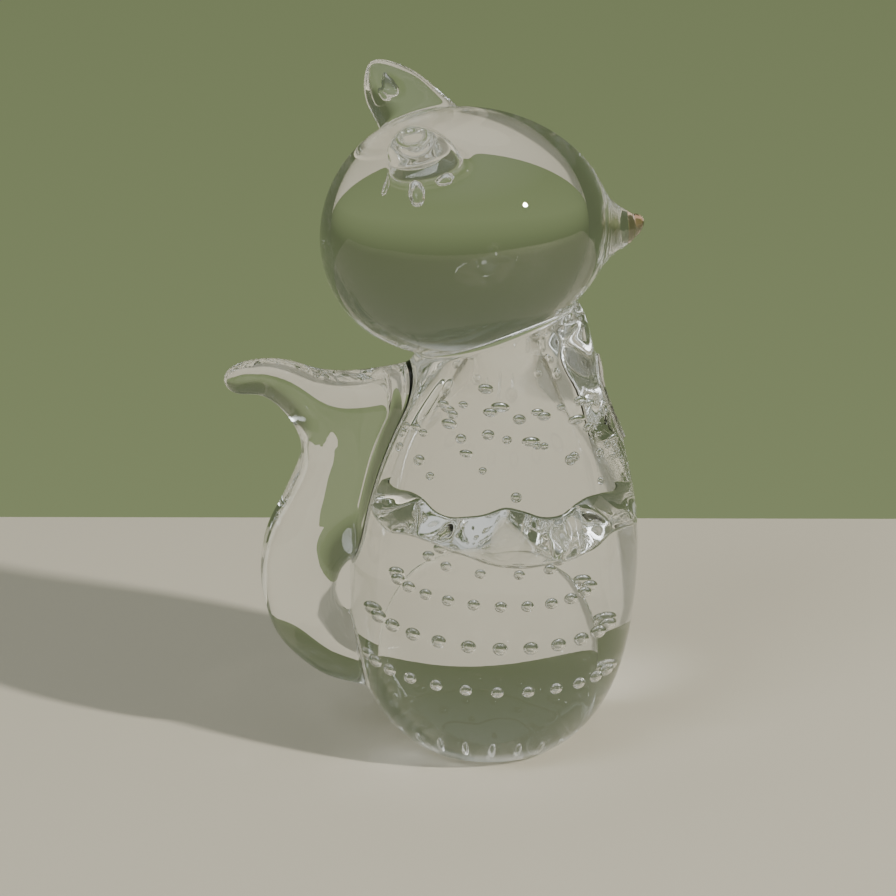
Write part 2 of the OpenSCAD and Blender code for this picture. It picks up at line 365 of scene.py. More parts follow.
def cubic_map(grid, x, z):
    """Smooth (Catmull-Rom) look-up in a grid over X and Z."""
    fx = np.clip((x - G_X0) / G_H, 1.001, G_NX - 2.001)
    fz = np.clip((z - G_Z0) / G_H, 1.001, G_NZ - 2.001)
    ix, iz = fx.astype(int), fz.astype(int)
    tx, tz = fx - ix, fz - iz

    def weights(t):
        return (-0.5 * t + t * t - 0.5 * t ** 3, 1 - 2.5 * t * t + 1.5 * t ** 3,
                0.5 * t + 2 * t * t - 1.5 * t ** 3, -0.5 * t * t + 0.5 * t ** 3)
    wx, wz = weights(tx), weights(tz)
    out = 0.0
    for i in range(4):
        for j in range(4):
            out = out + grid[ix + i - 1, iz + j - 1] * wx[i] * wz[j]
    return out


tail_mid = (rows[:, 0:2] + rows[:, 2:4]) / 2
tail_half = np.linalg.norm(rows[:, 2:4] - rows[:, 0:2], axis=1) / 2
tail_edge = np.clip(tail_half * TAIL_EDGE_SHARE, TAIL_EDGE_LEAST, TAIL_EDGE_MOST)


def tail_shape(x, z):
    """Edge width and half thickness of the tail's pillow at a place in its plane."""
    wsum = edge = thick = 0.0
    for (cx, cz), e, t in zip(tail_mid, tail_edge, rows[:, 4]):
        g = np.exp(-((x - cx) ** 2 + (z - cz) ** 2) / (2 * TAIL_BLEND ** 2)) + 1e-9
        wsum, edge, thick = wsum + g, edge + g * e, thick + g * t
    return edge / wsum, thick / wsum * TAIL_T / 2


def tail_pillow(d, edge, thick, y):
    q = np.maximum(1 + d / edge, 0)
    n = (q ** TAIL_P + (np.abs(y) / thick) ** TAIL_P) ** (1 / TAIL_P)
    n = np.maximum(n, 1e-4)
    gq = (q / n) ** (TAIL_P - 1) / edge
    gy = (np.abs(y) / thick / n) ** (TAIL_P - 1) / thick
    return (n - 1) / np.maximum(np.hypot(gq, gy), 0.1)


def sd_tail(x, y, z):
    edge, thick = tail_shape(x, z)
    return tail_pillow(cubic_map(tail_map, x, z), edge, thick, y)


# ---- the whole figure ----
NAMES = ["body_casing", "head", "ear_left", "ear_right", "snout", "nose_bead", "tail", "body_core"]
BODY, HEAD, EAR_L, EAR_R, SNOUT, NOSE, TAIL, CORE = range(8)
FIELDS = [sd_body, sd_head, sd_ear_left, sd_ear_right, sd_snout, sd_nose, sd_tail]


def fuse(f):
    """Joins the pieces' fields into one, with the fusing radius of each joint."""
    body, egg, ear_l, ear_r, snout, nose, tail = f
    top = smin(egg, ear_l, FUSE_EAR)
    top = smin(top, ear_r, FUSE_EAR)
    top = smin(top, smin(snout, nose, FUSE_NOSE), FUSE_SNOUT)
    low = smin(body, tail, FUSE_TAIL)
    return smin(top, low, FUSE_NECK)


def whole(x, y, z):
    u = fuse([f(x, y, z) for f in FIELDS])
    return smax(u, -z, BASE_EDGE)


def gradient_of(field, p, h=0.05):
    g = np.empty_like(p)
    for k in range(3):
        d = np.zeros(3)
        d[k] = h
        hi, lo = p + d, p - d
        g[:, k] = (field(*hi.T) - field(*lo.T)) / (2 * h)
    return g


def skin_gradient(p):
    return gradient_of(whole, p, 0.03)


def skin_normals(p):
    g = skin_gradient(p)
    return g / np.linalg.norm(g, axis=1)[:, None]


def sample_grid():
    """The fused field on a regular grid; small pieces are worked out only near themselves."""
    lo = np.array(cad_box[0]) / MM - GRID_MARGIN
    hi = np.array(cad_box[1]) / MM + GRID_MARGIN
    lo[2] = GRID_FLOOR
    lo += np.array(GRID_OFFSET)
    n = np.ceil((hi - lo) / VOXEL).astype(int) + 1
    axes = [lo[k] + VOXEL * np.arange(n[k]) for k in range(3)]
    x, y, z = axes[0][:, None, None], axes[1][None, :, None], axes[2][None, None, :]
    # where each piece can be: its x, y and z limits
    reach = {"body_casing": (-30, 33, -30, 30, -9, 92), "head": (-36, 30, -28, 28, 70, 130),
             "ear_left": (-32, 8, 0, 30, 106, 140), "ear_right": (-32, 8, -36, 0, 100, 134),
             "snout": (10, 36, -13, 13, 84, 114), "nose_bead": (20, 36, -9, 9, 88, 110),
             "tail": (-56, -2, -13, 13, 4, 84)}
    made = []
    for name, field in zip(NAMES, FIELDS):
        b = reach[name]
        f = np.full(n, FAR)
        sl = []
        for k in range(3):
            i0 = max(0, int((b[2 * k] - lo[k]) / VOXEL))
            i1 = min(n[k], int((b[2 * k + 1] - lo[k]) / VOXEL) + 1)
            sl.append(slice(i0, i1))
        sl = tuple(sl)
        xs, ys, zs = x[sl[0]], y[:, sl[1]], z[:, :, sl[2]]
        if name == "tail":
            edge, thick = tail_shape(xs, zs)
            d = cubic_map(tail_map, *np.broadcast_arrays(xs, zs))
            f[sl] = tail_pillow(d, edge, thick, ys)
        else:
            f[sl] = field(xs, ys, zs)
        made.append(np.minimum(f, FAR))
    return smax(fuse(made), -z, BASE_EDGE), lo


def surface_nets(field, origin):
    """Quads close to the zero surface of a sampled field."""
    neg = field < 0
    shape = np.array(field.shape) - 1
    count = np.zeros(shape, np.int8)
    corner = [(i, j, k) for i in (0, 1) for j in (0, 1) for k in (0, 1)]
    for i, j, k in corner:
        count += neg[i:i + shape[0], j:j + shape[1], k:k + shape[2]]
    cells = np.argwhere((count > 0) & (count < 8))
    index = np.full(shape, -1, np.int64)
    index[tuple(cells.T)] = np.arange(len(cells))
    pos = np.zeros((len(cells), 3))
    hits = np.zeros(len(cells))
    for axis in range(3):
        step = np.eye(3, dtype=int)[axis]
        for i, j, k in corner:
            if (i, j, k)[axis]:
                continue
            a = cells + (i, j, k)
            b = a + step
            fa, fb = field[tuple(a.T)], field[tuple(b.T)]
            hit = (fa < 0) != (fb < 0)
            t = np.where(hit, fa / np.where(hit, fa - fb, 1), 0)
            pos += np.where(hit[:, None], a + step * t[:, None], 0)
            hits += hit
    pos /= hits[:, None]
    quads = []
    for axis in range(3):
        o1, o2 = np.eye(3, dtype=int)[(axis + 1) % 3], np.eye(3, dtype=int)[(axis + 2) % 3]
        a = neg[tuple(slice(0, s - (1 if k == axis else 0)) for k, s in enumerate(field.shape))]
        b = neg[tuple(slice(1 if k == axis else 0, s) for k, s in enumerate(field.shape))]
        edges = np.argwhere(a != b)
        edges = edges[(edges[:, (axis + 1) % 3] > 0) & (edges[:, (axis + 2) % 3] > 0)]
        edges = edges[(edges[:, (axis + 1) % 3] < shape[(axis + 1) % 3])
                      & (edges[:, (axis + 2) % 3] < shape[(axis + 2) % 3])]
        q = np.stack([index[tuple((edges - o1 - o2).T)], index[tuple((edges - o2).T)],
                      index[tuple(edges.T)], index[tuple((edges - o1).T)]], 1)
        flip = ~neg[tuple(edges.T)]
        q[flip] = q[flip][:, ::-1]
        quads.append(q)
    return origin + pos * VOXEL, np.concatenate(quads)


def settle(p, steps=3):
    """Moves points onto the fused surface."""
    for _ in range(steps):
        f = whole(*p.T)
        g = skin_gradient(p)
        g2 = np.maximum((g * g).sum(1), 0.05)
        move = np.clip(f / g2, -LONGEST_MOVE, LONGEST_MOVE)
        p = p - g * move[:, None]
    return p


def relax(p, quads, rounds=2):
    """Evens out the mesh along the surface."""
    for _ in range(rounds):
        total = np.zeros_like(p)
        count = np.zeros(len(p))
        for k in range(4):
            a, b = quads[:, k], quads[:, (k + 1) % 4]
            for i in range(3):
                total[:, i] += np.bincount(a, p[b, i], len(p)) + np.bincount(b, p[a, i], len(p))
            count += np.bincount(a, minlength=len(p)) + np.bincount(b, minlength=len(p))
        p = settle(p + 0.6 * (total / count[:, None] - p), 1)
    return p


# ---- cutting the fused skin into its gathers ----
def split_edges(p, tris, labels, marks, new_points):
    """Splits every triangle that has a marked edge. marks holds sorted vertex pairs, one per new point."""
    n = len(p)
    key = marks[:, 0] * n + marks[:, 1]
    order = np.argsort(key)
    key = key[order]
    ids = np.arange(len(marks))[order] + n
    found = np.full(tris.shape, -1, np.int64)
    for k in range(3):
        a, b = tris[:, k], tris[:, (k + 1) % 3]
        want = np.minimum(a, b) * n + np.maximum(a, b)
        i = np.clip(np.searchsorted(key, want), 0, len(key) - 1)
        found[:, k] = np.where(key[i] == want, ids[i], -1)
    p = np.concatenate([p, new_points])
    kinds = (found >= 0).sum(1)
    keep = kinds == 0
    out, out_labels = [tris[keep]], [labels[keep]]

    def add(sel, *cols):
        out.append(np.stack(cols, 1))
        out_labels.append(labels[sel])

    for k in range(3):
        # one marked edge, k
        sel = np.flatnonzero((kinds == 1) & (found[:, k] >= 0))
        a, b, c = (tris[sel, (k + i) % 3] for i in range(3))
        m = found[sel, k]
        add(sel, a, m, c)
        add(sel, m, b, c)
        # two marked edges, the unmarked one is k
        sel = np.flatnonzero((kinds == 2) & (found[:, k] < 0))
        a, b, c = (tris[sel, (k + i) % 3] for i in range(3))
        mbc, mca = found[sel, (k + 1) % 3], found[sel, (k + 2) % 3]
        add(sel, c, mca, mbc)
        d1 = np.linalg.norm(p[a] - p[mbc], axis=1)
        d2 = np.linalg.norm(p[b] - p[mca], axis=1)
        near = d1 <= d2
        add(sel, a, np.where(near, mbc, b), mca)
        add(sel, np.where(near, a, mca), b, mbc)
    sel = np.flatnonzero(kinds == 3)
    a, b, c = (tris[sel, i] for i in range(3))
    ab, bc, ca = (found[sel, i] for i in range(3))
    add(sel, a, ab, ca)
    add(sel, ab, b, bc)
    add(sel, ca, bc, c)
    add(sel, ab, bc, ca)
    return p, np.concatenate(out), np.concatenate(out_labels)


def edge_list(tris):
    """Every edge once, as a sorted pair of vertices."""
    e = np.concatenate([tris[:, [0, 1]], tris[:, [1, 2]], tris[:, [2, 0]]])
    return np.unique(np.sort(e, 1), axis=0)


def refine(p, tris, labels, degrees, shortest):
    """Splits the edges across which the surface turns by more than some angle."""
    normal = skin_normals(p)
    e = edge_list(tris)
    turn = (normal[e[:, 0]] * normal[e[:, 1]]).sum(1)
    size = np.linalg.norm(p[e[:, 0]] - p[e[:, 1]], axis=1)
    e = e[(turn < math.cos(math.radians(degrees))) & (size > shortest)]
    mid = settle((p[e[:, 0]] + p[e[:, 1]]) / 2, 3)
    return split_edges(p, tris, labels, e, mid)


def cut(p, tris, labels, parent, child, phi_of):
    """Gives the part of the parent's skin where phi is below zero to the child, along a clean edge."""
    mine = labels == parent
    used = np.unique(tris[mine])
    phi = np.full(len(p), 1.0)
    phi[used] = phi_of(p[used])
    e = edge_list(tris[mine])
    for _ in range(3):
        # a vertex close to the seam is moved onto it, so no slivers are left
        s = phi[e]
        cross = s[:, 0] * s[:, 1] < 0
        t = s[:, 0] / np.where(cross, s[:, 0] - s[:, 1], 1)
        for near, far, share in ((0, 1, t), (1, 0, 1 - t)):
            pick = cross & (share < 0.25)
            v, first = np.unique(e[pick, near], return_index=True)
            w = e[pick, far][first]
            moved = p[v] + (p[w] - p[v]) * share[pick][first][:, None]
            ok = phi[v] * phi[w] < 0
            p[v[ok]] = moved[ok]
            phi[v[ok]] = 0.0
    s = phi[e]
    cross = s[:, 0] * s[:, 1] < 0
    e, s = e[cross], s[cross]
    t = (s[:, 0] / (s[:, 0] - s[:, 1]))[:, None]
    n0 = len(p)
    p, tris, labels = split_edges(p, tris, labels, e, p[e[:, 0]] * (1 - t) + p[e[:, 1]] * t)
    phi = np.concatenate([phi, np.zeros(len(p) - n0)])
    side = phi[tris].sum(1)
    labels = np.where((labels == parent) & (side < 0), child, labels)
    return p, tris, labels


def seam_loops(tris_a, tris_b):
    """Closed vertex loops along which two patches meet, in the winding of the first."""
    def directed(tris):
        return np.concatenate([tris[:, [0, 1]], tris[:, [1, 2]], tris[:, [2, 0]]])
    back = {(int(b), int(a)) for a, b in directed(tris_b)}
    follow = {}
    for a, b in directed(tris_a):
        if (int(a), int(b)) in back:
            follow[int(a)] = int(b)
    loops = []
    while follow:
        start, here = next(iter(follow.items()))
        loop = [start]
        del follow[start]
        while here != start and here in follow:
            loop.append(here)
            here = follow.pop(here)
        if here == start and len(loop) > 2:
            loops.append(np.array(loop))
    return loops


def ring_faces(n, rings):
    """Triangles from a loop of n points inwards over its rings, and last to one point in the middle."""
    faces = []
    here = np.arange(n)
    for j in range(1, rings):
        ring = j * n + np.arange(n)
        faces.append(np.stack([here, np.roll(here, -1), np.roll(ring, -1)], 1))
        faces.append(np.stack([here, np.roll(ring, -1), ring], 1))
        here = ring
    faces.append(np.stack([here, np.roll(here, -1), np.full(n, rings * n)], 1))
    return np.concatenate(faces)


def globe_faces(rows_up, around):
    """Triangles over rows_up - 1 rings of points from one pole to the other, with the two poles last."""
    m = rows_up - 1
    idx = np.arange(m * around).reshape(m, around)
    nxt = np.roll(idx, -1, 1)
    a, b, c, d = idx[:-1], nxt[:-1], nxt[1:], idx[1:]
    faces = [np.stack([a, b, c], -1).reshape(-1, 3), np.stack([a, c, d], -1).reshape(-1, 3),
             np.stack([np.full(around, m * around), nxt[0], idx[0]], 1),
             np.stack([np.full(around, m * around + 1), idx[-1], nxt[-1]], 1)]
    return np.concatenate(faces)


def cap_normals(points, faces):
    """Area-weighted vertex normals."""
    flat = np.cross(points[faces[:, 1]] - points[faces[:, 0]], points[faces[:, 2]] - points[faces[:, 0]])
    out = np.zeros_like(points)
    for k in range(3):
        for i in range(3):
            out[:, i] += np.bincount(faces[:, k], flat[:, i], len(points))
    return out / (np.linalg.norm(out, axis=1)[:, None] + 1e-12)


def cap_rings(loop_points, field, rings):
    """Inner vertices and faces of the joint surface inside a seam: it follows the lower gather's skin."""
    centre = loop_points.mean(0)
    level = field(*loop_points.T)
    rows_made = []
    for j in range(1, rings):
        s = j / rings
        q = loop_points + (centre - loop_points) * s
        for _ in range(4):
            g = gradient_of(field, q)
            miss = field(*q.T) - level * (1 - s) ** 2
            q = q - g * (miss / np.maximum((g * g).sum(1), 0.05))[:, None]
        rows_made.append(q)
    tip = rows_made[-1].mean(0)
    points = np.concatenate(rows_made + [tip[None]])
    return points, ring_faces(len(loop_points), rings)


def gather_skins():
    """The fused skin as one closed mesh, with the number of the gather each triangle belongs to."""
    field, lo = sample_grid()
    p, quads = surface_nets(field, lo)
    p = relax(settle(p, 1), quads, 2)
    p = settle(p, 2)
    normal = skin_normals(p)
    d1 = (normal[quads[:, 0]] * normal[quads[:, 2]]).sum(1)
    d2 = (normal[quads[:, 1]] * normal[quads[:, 3]]).sum(1)
    first = (d1 >= d2)[:, None]
    tris = np.concatenate([np.where(first, quads[:, [0, 1, 2]], quads[:, [0, 1, 3]]),
                           np.where(first, quads[:, [0, 2, 3]], quads[:, [1, 2, 3]])])
    labels = np.zeros(len(tris), int)
    for _ in range(3):
        p, tris, labels = refine(p, tris, labels, CREASE, SHORTEST_EDGE)

    def top_or_low(q):
        q = q.T
        top = np.minimum(sd_head(*q), np.minimum(sd_snout(*q), sd_nose(*q)))
        top = np.minimum(top, np.minimum(sd_ear_left(*q), sd_ear_right(*q)))
        return top - np.minimum(sd_body(*q), sd_tail(*q))

    def against(child, parent):
        return lambda q: child(*q.T) - parent(*q.T)

    def nose_line(q):
        return SNOUT_END - head_axis(q[:, 0], q[:, 2], HEAD_TILT - SNOUT_DROP)[0]

    def base_disc(q):
        lx, lz = turn_y(q[:, 0], q[:, 2], BODY_LEAN)
        return np.where(q[:, 2] < 1.0, np.hypot(lx, q[:, 1]) - core_curve(lz), FAR)

    def muzzle(*q):
        return np.minimum(sd_snout(*q), sd_nose(*q))

    steps = [(BODY, HEAD, top_or_low), (HEAD, EAR_L, against(sd_ear_left, sd_head)),
             (HEAD, EAR_R, against(sd_ear_right, sd_head)), (HEAD, SNOUT, against(muzzle, sd_head)),
             (SNOUT, NOSE, nose_line), (BODY, TAIL, against(sd_tail, sd_body)), (BODY, CORE, base_disc)]
    for parent, child, phi in steps:
        p, tris, labels = cut(p, tris, labels, parent, child, phi)
    return p, tris, labels


def dome_rings(loop_points, gap=0.0):
    """The skin of the first gather above the ground base, from the disc's rim to its top."""
    lx, lz = turn_y(loop_points[:, 0], loop_points[:, 2], BODY_LEAN)
    angle = np.arctan2(loop_points[:, 1], lx)
    c, s = math.cos(BODY_LEAN), math.sin(BODY_LEAN)
    made = []
    for j in range(1, DOME_RINGS):
        # even steps at first, then closing in on the round top
        u = math.sin(j / DOME_RINGS * math.pi / 2)
        h = lz + (CORE_TOP - lz) * u
        cap = np.sqrt(np.maximum(CORE_TOP - h, 0) / (CORE_TOP - CORE_CAP)) * core_curve(CORE_CAP)
        r = np.where(h > CORE_CAP, cap, core_curve(h)) + gap * min(1.0, j / 3)
        x, y = r * np.cos(angle), r * np.sin(angle)
        made.append(np.stack([x * c + h * s, y, -x * s + h * c], 1))
    high = CORE_TOP + gap
    points = np.concatenate(made + [np.array([[high * s, 0, high * c]])])
    return points, ring_faces(len(loop_points), DOME_RINGS)


# ---- bubbles: closed voids whose skin faces into the air inside them ----
def about_y(angle):
    """Rotation matrix that turns +Z towards +X."""
    c, s = math.cos(angle), math.sin(angle)
    return np.array([[c, 0, s], [0, 1, 0], [-s, 0, c]])


def about_z(angle):
    """Rotation matrix that turns +X towards +Y."""
    c, s = math.cos(angle), math.sin(angle)
    return np.array([[c, -s, 0], [s, c, 0], [0, 0, 1]])


# the whole pattern of bubbles leans with the body
LEAN = about_y(BODY_LEAN)


def ball(centre, radii, tilt_angle, turn, around=18, rows_up=11):
    """A closed ellipsoid, wound and shaded as a hole in the glass."""
    v = np.linspace(0, math.pi, rows_up + 1)[1:-1]
    u = np.linspace(0, 2 * math.pi, around, endpoint=False)
    uu, vv = np.meshgrid(u, v)
    unit = np.stack([np.sin(vv) * np.cos(uu), np.sin(vv) * np.sin(uu), np.cos(vv)], -1).reshape(-1, 3)
    unit = np.concatenate([unit, [[0, 0, 1], [0, 0, -1]]])
    q = unit * radii
    nn = unit / radii
    nn /= np.linalg.norm(nn, axis=1)[:, None]
    spin = about_z(turn) @ about_y(tilt_angle)
    q, nn = q @ spin.T + centre, nn @ spin.T
    return q @ LEAN.T, globe_faces(rows_up, around), -nn @ LEAN.T


def bubbles():
    """The rings of bubbles on the core, the drawn-out ones low down and the loose ones above."""
    out = []
    for height, share, size, lift in RINGS:
        lift = math.radians(lift)
        r = BUBBLE_D * size / 2
        gap = r + BUBBLE_CLEAR
        top_ring = height == RINGS[-1][0]
        for i in range(RING_COUNT):
            turn = 2 * math.pi * (i + 0.5) / RING_COUNT
            # the rings are open at the back; the top one is sparser and goes all the way round
            left_out = i % 2 == 1 if top_ring else math.sin(turn) >= RING_OPEN
            if left_out:
                continue
            out_r = share * CORE_D / 2 + gap * math.cos(lift)
            z = height + gap * math.sin(lift)
            centre = np.array([out_r * math.cos(turn), out_r * math.sin(turn), z])
            out.append(ball(centre, np.array([r, r, r]), 0.0, turn))
    for i in range(RING_COUNT):
        turn = 2 * math.pi * (i + 0.5) / RING_COUNT
        out_r = DRAWN_SHARE * CORE_D / 2 + DRAWN_D / 2 + BUBBLE_CLEAR
        centre = np.array([out_r * math.cos(turn), out_r * math.sin(turn), DRAWN_Z])
        radii = np.array([DRAWN_D, DRAWN_D, DRAWN_L]) / 2
        out.append(ball(centre, radii, DRAWN_TILT, turn))
    for i in range(1, STRAY_COUNT + 1):
        share, turn = i / STRAY_COUNT, math.radians(i * STRAY_TURN)
        reach = 0.12 + 0.88 * math.sqrt(share)
        x = STRAY_X + STRAY_LONG * reach * math.cos(turn)
        y = STRAY_Y + STRAY_WIDE * reach * math.sin(turn)
        z = STRAY_Z - STRAY_FALL * share + STRAY_SWAY * math.sin(math.radians(i * 97))
        r = BUBBLE_D * (0.84 + 0.16 * math.sin(math.radians(i * 61))) / 2
        centre = np.array([x, y, z])
        # the loose ones were dragged a hair flat as the shoulders were drawn in
        out.append(ball(centre, np.array([r * 1.06, r, r * 0.94]), 0.0, turn))
    return out


def pocket(centre, normal, radii, swing):
    """A drop-shaped pocket of trapped air lying under the skin, its round end downhill."""
    rows_up, around = 14, 26
    v = np.linspace(0, math.pi, rows_up + 1)[1:-1]
    w = np.linspace(0, 2 * math.pi, around, endpoint=False)
    ww, vv = np.meshgrid(w, v)
    unit = np.stack([np.cos(vv), np.sin(vv) * np.cos(ww), np.sin(vv) * np.sin(ww)], -1).reshape(-1, 3)
    unit = np.concatenate([unit, [[1, 0, 0], [-1, 0, 0]]])
    unit[:, 1:] *= (1 + 0.35 * unit[:, :1]) * (1 + 0.05 * np.sin(9 * unit[:, :1]))
    n = np.array(normal) / np.linalg.norm(normal)
    down = np.array([0, 0, -1.0]) + n * n[2]
    down /= np.linalg.norm(down)
    side = np.cross(n, down)
    along = down * math.cos(swing) + side * math.sin(swing)
    axes = np.stack([along, np.cross(n, along), n])
    points = (unit * radii) @ axes + centre
    faces = globe_faces(rows_up, around)
    normals = cap_normals(points, faces)
    if np.sum(normals * (points - centre)) > 0:
        faces, normals = faces[:, ::-1], -normals
    return points, faces, normals


def head_pocket(along, turn, depth, radii, swing):
    """A pocket at a set depth under the head's skin, found by halving along a spoke from the nose axis."""
    c, s = math.cos(HEAD_TILT), math.sin(HEAD_TILT)
    turn = math.radians(turn)
    foot = np.array([HEAD_X + along * c, 0, HEAD_Z + along * s])
    spoke = np.array([-s * math.cos(turn), -math.sin(turn), c * math.cos(turn)])
    near, far = 0.0, HEAD_D
    for _ in range(40):
        mid = (near + far) / 2
        if sd_head(*(foot + spoke * mid)) < -depth:
            near = mid
        else:
            far = mid
    centre = foot + spoke * near
    return pocket(centre, gradient_of(sd_head, centre[None])[0], radii, swing)


def ear_pocket(side, splay, along, rise, back, across, up, radii, swing):
    """A pocket in the middle of an ear's thickness, placed in the ear's own frame."""
    splay, back = math.radians(splay) * side, math.radians(back)
    dx = across * math.cos(back) - up * math.sin(back)
    lift = across * math.sin(back) + up * math.cos(back) + rise
    centre = np.array([HEAD_X + along + dx, lift * math.sin(splay), HEAD_Z + lift * math.cos(splay)])
    return pocket(centre, (0, -math.cos(splay), math.sin(splay)), radii, swing)


def veil():
    """A thin, wavy sheet of trapped air where the shoulders' glass was laid over the bubbled lower gather."""
    turns, steps = 170, 16
    v = np.linspace(0, 1, turns + 1)
    u = np.linspace(0, 1, steps + 1)
    uu, vv = np.meshgrid(u, v, indexing="ij")
    th = VEIL_MID + VEIL_SPAN * (vv - 0.5)
    inner = VEIL_IN + 1.3 * np.sin(2 * th + 1.0) + 0.8 * np.sin(5 * th)
    outer_r = VEIL_OUT + 0.5 * np.sin(3 * th) + 0.5 * np.sin(7 * th + 2.0)
    r = inner + (outer_r - inner) * uu
    wave = (1.1 * np.sin(2 * th + 0.9) + 0.6 * np.sin(5 * th + 0.25 * r)
            + 0.26 * np.sin(9 * th - 0.35 * r + np.sin(3 * th)) + 0.08 * np.sin(19 * th + 0.6 * r))
    z = VEIL_TOP - VEIL_DROP * (r - VEIL_IN) / (VEIL_OUT - VEIL_IN) + wave * (0.5 + 0.5 * uu)
    # thickest in the middle of the sheet, closed along its rim
    swell = np.sqrt(4 * uu * (1 - uu)) * (4 * vv * (1 - vv)) ** 0.25
    half_t = VEIL_T / 2 * swell * (1 + 0.3 * np.sin(4 * th + r * 0.4))
    x, y = r * np.cos(th), r * np.sin(th)
    top_s = np.stack([x, y, z + half_t], -1).reshape(-1, 3)
    low_s = np.stack([x, y, z - half_t], -1)
    a = np.arange((steps + 1) * (turns + 1)).reshape(steps + 1, turns + 1)
    b = a.copy()
    b[1:-1, 1:-1] = a.size + np.arange((steps - 1) * (turns - 1)).reshape(steps - 1, turns - 1)
    points = np.concatenate([top_s, low_s[1:-1, 1:-1].reshape(-1, 3)])

    def sheet(g):
        i, j, k, m = g[:-1, :-1], g[1:, :-1], g[1:, 1:], g[:-1, 1:]
        halves = [np.stack([i, j, k], -1), np.stack([i, k, m], -1)]
        return np.concatenate([half.reshape(-1, 3) for half in halves])
    # wound so the faces look into the air
    faces = np.concatenate([sheet(a)[:, ::-1], sheet(b)])
    points = points @ LEAN.T
    return points, faces, cap_normals(points, faces)


# ---- materials ----
GLASS_IOR = 1.52
# the first gather is a touch denser than the glass cased over it, so its outline shows
CORE_RATIO = 1.07
# depth, in metres, of the faint waves that working leaves in the surface
STRIAE = 0.00003


def setp(node, name, value):
    node.inputs[name].default_value = value


def new_material(name):
    mat = bpy.data.materials.new(name)
    mat.use_nodes = True
    return mat, mat.node_tree.nodes["Principled BSDF"]


def glass(name, color, striae=0.0, ior=GLASS_IOR):
    """Fire-polished glass, with faint waves in its surface where striae is above zero."""
    mat, shader = new_material(name)
    setp(shader, "Base Color", color)
    setp(shader, "Roughness", 0.0)
    setp(shader, "IOR", ior)
    setp(shader, "Transmission Weight", 1.0)
    if striae > 0:
        nt = mat.node_tree
        where = nt.nodes.new("ShaderNodeTexCoord")
        scale = nt.nodes.new("ShaderNodeMapping")
        scale.inputs["Scale"].default_value = (1.0, 1.0, 0.55)
        noise = nt.nodes.new("ShaderNodeTexNoise")
        setp(noise, "Scale", 45.0)
        setp(noise, "Detail", 1.0)
        bump = nt.nodes.new("ShaderNodeBump")
        setp(bump, "Strength", 1.0)
        setp(bump, "Distance", striae)
        nt.links.new(where.outputs["Object"], scale.inputs["Vector"])
        nt.links.new(scale.outputs["Vector"], noise.inputs["Vector"])
        nt.links.new(noise.outputs["Fac"], bump.inputs["Height"])
        nt.links.new(bump.outputs["Normal"], shader.inputs["Normal"])
    return mat


def seam_material():
    """Where two gathers are fused there is no surface left, so light goes straight on."""
    mat, shader = new_material("fused_seam")
    setp(shader, "Base Color", (1, 1, 1, 1))
    setp(shader, "IOR", 1.0)
    setp(shader, "Alpha", 0.0)
    return mat


clear_mat = glass("clear_glass", (0.985, 0.99, 0.985, 1), STRIAE)
rose_mat = glass("rose_glass", (0.96, 0.62, 0.50, 1))
seam_mat = seam_material()
core_mat = glass("core_skin", (1, 1, 1, 1), ior=CORE_RATIO)


# ---- meshes ----
def make_piece(name, node, main_mat, parts):
    """parts holds the points, the triangles, each point's normal and each triangle's material index."""
    points, tris, normals, slots = parts
    mesh = bpy.data.meshes.new(name)
    mesh.vertices.add(len(points))
    mesh.vertices.foreach_set("co", (points * MM).astype(np.float32).ravel())
    mesh.loops.add(len(tris) * 3)
    mesh.loops.foreach_set("vertex_index", tris.astype(np.int32).ravel())
    mesh.polygons.add(len(tris))
    mesh.polygons.foreach_set("loop_start", np.arange(0, len(tris) * 3, 3, dtype=np.int32))
    mesh.polygons.foreach_set("material_index", slots.astype(np.int32))
    mesh.polygons.foreach_set("use_smooth", np.ones(len(tris), bool))
    mesh.update(calc_edges=True)
    mesh.validate()
    mesh.materials.append(main_mat)
    mesh.materials.append(seam_mat)
    mesh.materials.append(core_mat)
    mesh.normals_split_custom_set_from_vertices(normals.astype(np.float32).tolist())
    obj = bpy.data.objects.new(name, mesh)
    bpy.context.scene.collection.objects.link(obj)
    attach(obj, "root")
    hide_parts(node)
    return obj


